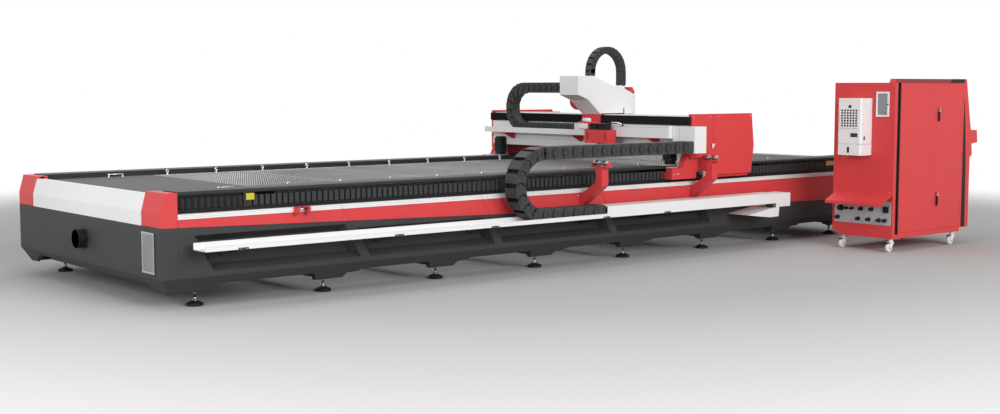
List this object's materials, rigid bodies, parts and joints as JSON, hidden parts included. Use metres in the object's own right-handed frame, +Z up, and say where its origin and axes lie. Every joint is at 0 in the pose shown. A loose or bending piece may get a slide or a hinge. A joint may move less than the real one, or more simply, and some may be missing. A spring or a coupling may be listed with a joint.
{
  "type": "flatbed fibre laser cutting machine",
  "caption": "Long flatbed laser cutting machine with slatted table, travelling gantry, drag chains, pleated bellows and a separate control cabinet on casters.",
  "frame": {"origin": "centre of the underside of the left-hand levelling foot on the long side with the chain tray", "axes": "+X along the bed from the duct end to the cabinet end, +Y across the bed away from the chain tray, +Z up"},
  "size_m": [9.586, 4.696, 2.263],
  "materials": {
    "dark_panel": "satin dark grey powder coat",
    "dark_band": "satin near-black powder coat",
    "red_coat": "satin red powder coat",
    "white_coat": "satin white powder coat",
    "grey_coat": "satin light grey powder coat",
    "frame_coat": "matt grey primer coat",
    "ground_steel": "ground and lightly oiled",
    "slat_steel": "rolled, scorched at the top edges",
    "bright_plating": "bright zinc plating",
    "bellows_cloth": "coated black cloth",
    "chain_plastic": "moulded black nylon",
    "motor_coat": "satin black enamel",
    "nozzle_metal": "turned, bright",
    "pane_glass": "clear, faintly grey",
    "wheel_nylon": "moulded white nylon",
    "handle_metal": "satin plated casting"
  },
  "bodies": {
    "root": {"bed_frame": "frame_coat", "side_skins": "dark_panel", "end_panels": "dark_panel", "red_covers": "red_coat", "end_covers": "white_coat", "side_strips": "white_coat", "rail_covers": "dark_band", "guide_rails": "ground_steel", "bellows_left": "bellows_cloth", "bellows_right": "bellows_cloth", "slat_frames": "slat_steel", "slats": "slat_steel", "cover_plates": "frame_coat", "levelling_feet": "bright_plating", "exhaust_duct": "motor_coat", "chain_tray": "white_coat", "tray_cover": "white_coat", "tray_brackets": "dark_panel", "roller_posts": "red_coat", "long_chain_lower": "chain_plastic", "cabinet_body": "red_coat", "console_shell": "red_coat", "cooling_unit": "white_coat", "connector_plate": "grey_coat", "canopy": "red_coat"},
    "gantry": {"gantry_beam": "white_coat", "saddles": "red_coat", "gantry_covers": "red_coat", "cable_ducts": "white_coat", "cross_tray": "white_coat", "drive_motors": "motor_coat", "long_chain_upper": "chain_plastic", "cross_chain_lower": "chain_plastic", "beam_bellows_near": "bellows_cloth", "beam_bellows_far": "bellows_cloth"},
    "long_chain_turn": {"long_chain_bend": "chain_plastic"},
    "carriage": {"carriage_plate": "red_coat", "carriage_cover": "white_coat", "carriage_motors": "motor_coat", "arch_chain": "chain_plastic", "head_housing": "red_coat", "cross_chain_upper": "chain_plastic"},
    "cross_chain_turn": {"cross_chain_bend": "chain_plastic"},
    "head": {"cutting_head": "nozzle_metal"},
    "door_left": {"cabinet_door_left": "red_coat"},
    "door_right": {"cabinet_door_right": "red_coat"},
    "handle_upper": {"door_handle_upper": "handle_metal"},
    "handle_lower": {"door_handle_lower": "handle_metal"},
    "window": {"window_frame": "white_coat", "window_pane": "pane_glass"},
    "roller_left": {"support_roller_left": "ground_steel"},
    "roller_right": {"support_roller_right": "ground_steel"},
    "fork_1": {"caster_fork_1": "white_coat"},
    "wheel_1": {"caster_wheel_1": "wheel_nylon"},
    "fork_2": {"caster_fork_2": "white_coat"},
    "wheel_2": {"caster_wheel_2": "wheel_nylon"},
    "fork_3": {"caster_fork_3": "white_coat"},
    "wheel_3": {"caster_wheel_3": "wheel_nylon"},
    "fork_4": {"caster_fork_4": "white_coat"},
    "wheel_4": {"caster_wheel_4": "wheel_nylon"}
  },
  "joints": [
    {"name": "gantry_travel", "type": "slide", "parent": "root", "child": "gantry", "axis": [1, 0, 0], "range_m": [-4.15, 1.5], "deforming": ["long_chain_lower", "long_chain_upper", "bellows_left", "bellows_right"]},
    {"name": "long_chain_roll", "type": "slide", "parent": "root", "child": "long_chain_turn", "axis": [1, 0, 0], "range_m": [-2.075, 0.75]},
    {"name": "carriage_travel", "type": "slide", "parent": "gantry", "child": "carriage", "axis": [0, 1, 0], "range_m": [-0.6, 1.5], "deforming": ["cross_chain_lower", "cross_chain_upper", "beam_bellows_near", "beam_bellows_far"]},
    {"name": "cross_chain_roll", "type": "slide", "parent": "gantry", "child": "cross_chain_turn", "axis": [0, 1, 0], "range_m": [-0.3, 0.75]},
    {"name": "head_lift", "type": "slide", "parent": "carriage", "child": "head", "axis": [0, 0, 1], "range_m": [-0.125, 0]},
    {"name": "door_left_hinge", "type": "hinge", "parent": "root", "child": "door_left", "pos_m": [7.586, -1.623, 1.023], "axis": [0, 0, 1], "range_deg": [-110, 0]},
    {"name": "door_right_hinge", "type": "hinge", "parent": "root", "child": "door_right", "pos_m": [8.804, -1.623, 1.023], "axis": [0, 0, 1], "range_deg": [0, 110]},
    {"name": "upper_handle_turn", "type": "hinge", "parent": "door_right", "child": "handle_upper", "pos_m": [8.315, -1.639, 1.551], "axis": [0, -1, 0], "range_deg": [0, 90]},
    {"name": "lower_handle_turn", "type": "hinge", "parent": "door_right", "child": "handle_lower", "pos_m": [8.315, -1.639, 0.604], "axis": [0, -1, 0], "range_deg": [0, 90]},
    {"name": "window_hinge", "type": "hinge", "parent": "root", "child": "window", "pos_m": [7.469, -1.39, 1.6125], "axis": [0, 0, 1], "range_deg": [-90, 0]},
    {"name": "left_roller_spin", "type": "hinge", "parent": "root", "child": "roller_left", "pos_m": [4.232, -0.442, 1.045], "axis": [0, 1, 0], "continuous": true},
    {"name": "right_roller_spin", "type": "hinge", "parent": "root", "child": "roller_right", "pos_m": [5.867, -0.442, 1.045], "axis": [0, 1, 0], "continuous": true},
    {"name": "caster_1_swivel", "type": "hinge", "parent": "root", "child": "fork_1", "pos_m": [7.537, -1.574, 0.12], "axis": [0, 0, 1], "continuous": true},
    {"name": "caster_1_roll", "type": "hinge", "parent": "fork_1", "child": "wheel_1", "pos_m": [7.501, -1.574, 0.05], "axis": [0, 1, 0], "continuous": true},
    {"name": "caster_2_swivel", "type": "hinge", "parent": "root", "child": "fork_2", "pos_m": [8.732, -1.574, 0.12], "axis": [0, 0, 1], "continuous": true},
    {"name": "caster_2_roll", "type": "hinge", "parent": "fork_2", "child": "wheel_2", "pos_m": [8.696, -1.574, 0.05], "axis": [0, 1, 0], "continuous": true},
    {"name": "caster_3_swivel", "type": "hinge", "parent": "root", "child": "fork_3", "pos_m": [7.537, -0.964, 0.12], "axis": [0, 0, 1], "continuous": true},
    {"name": "caster_3_roll", "type": "hinge", "parent": "fork_3", "child": "wheel_3", "pos_m": [7.501, -0.964, 0.05], "axis": [0, 1, 0], "continuous": true},
    {"name": "caster_4_swivel", "type": "hinge", "parent": "root", "child": "fork_4", "pos_m": [8.732, -0.964, 0.12], "axis": [0, 0, 1], "continuous": true},
    {"name": "caster_4_roll", "type": "hinge", "parent": "fork_4", "child": "wheel_4", "pos_m": [8.696, -0.964, 0.05], "axis": [0, 1, 0], "continuous": true}
  ],
  "couplings": [
    {"joint": "long_chain_roll", "follows": "gantry_travel", "ratio": 0.5},
    {"joint": "cross_chain_roll", "follows": "carriage_travel", "ratio": 0.5}
  ]
}
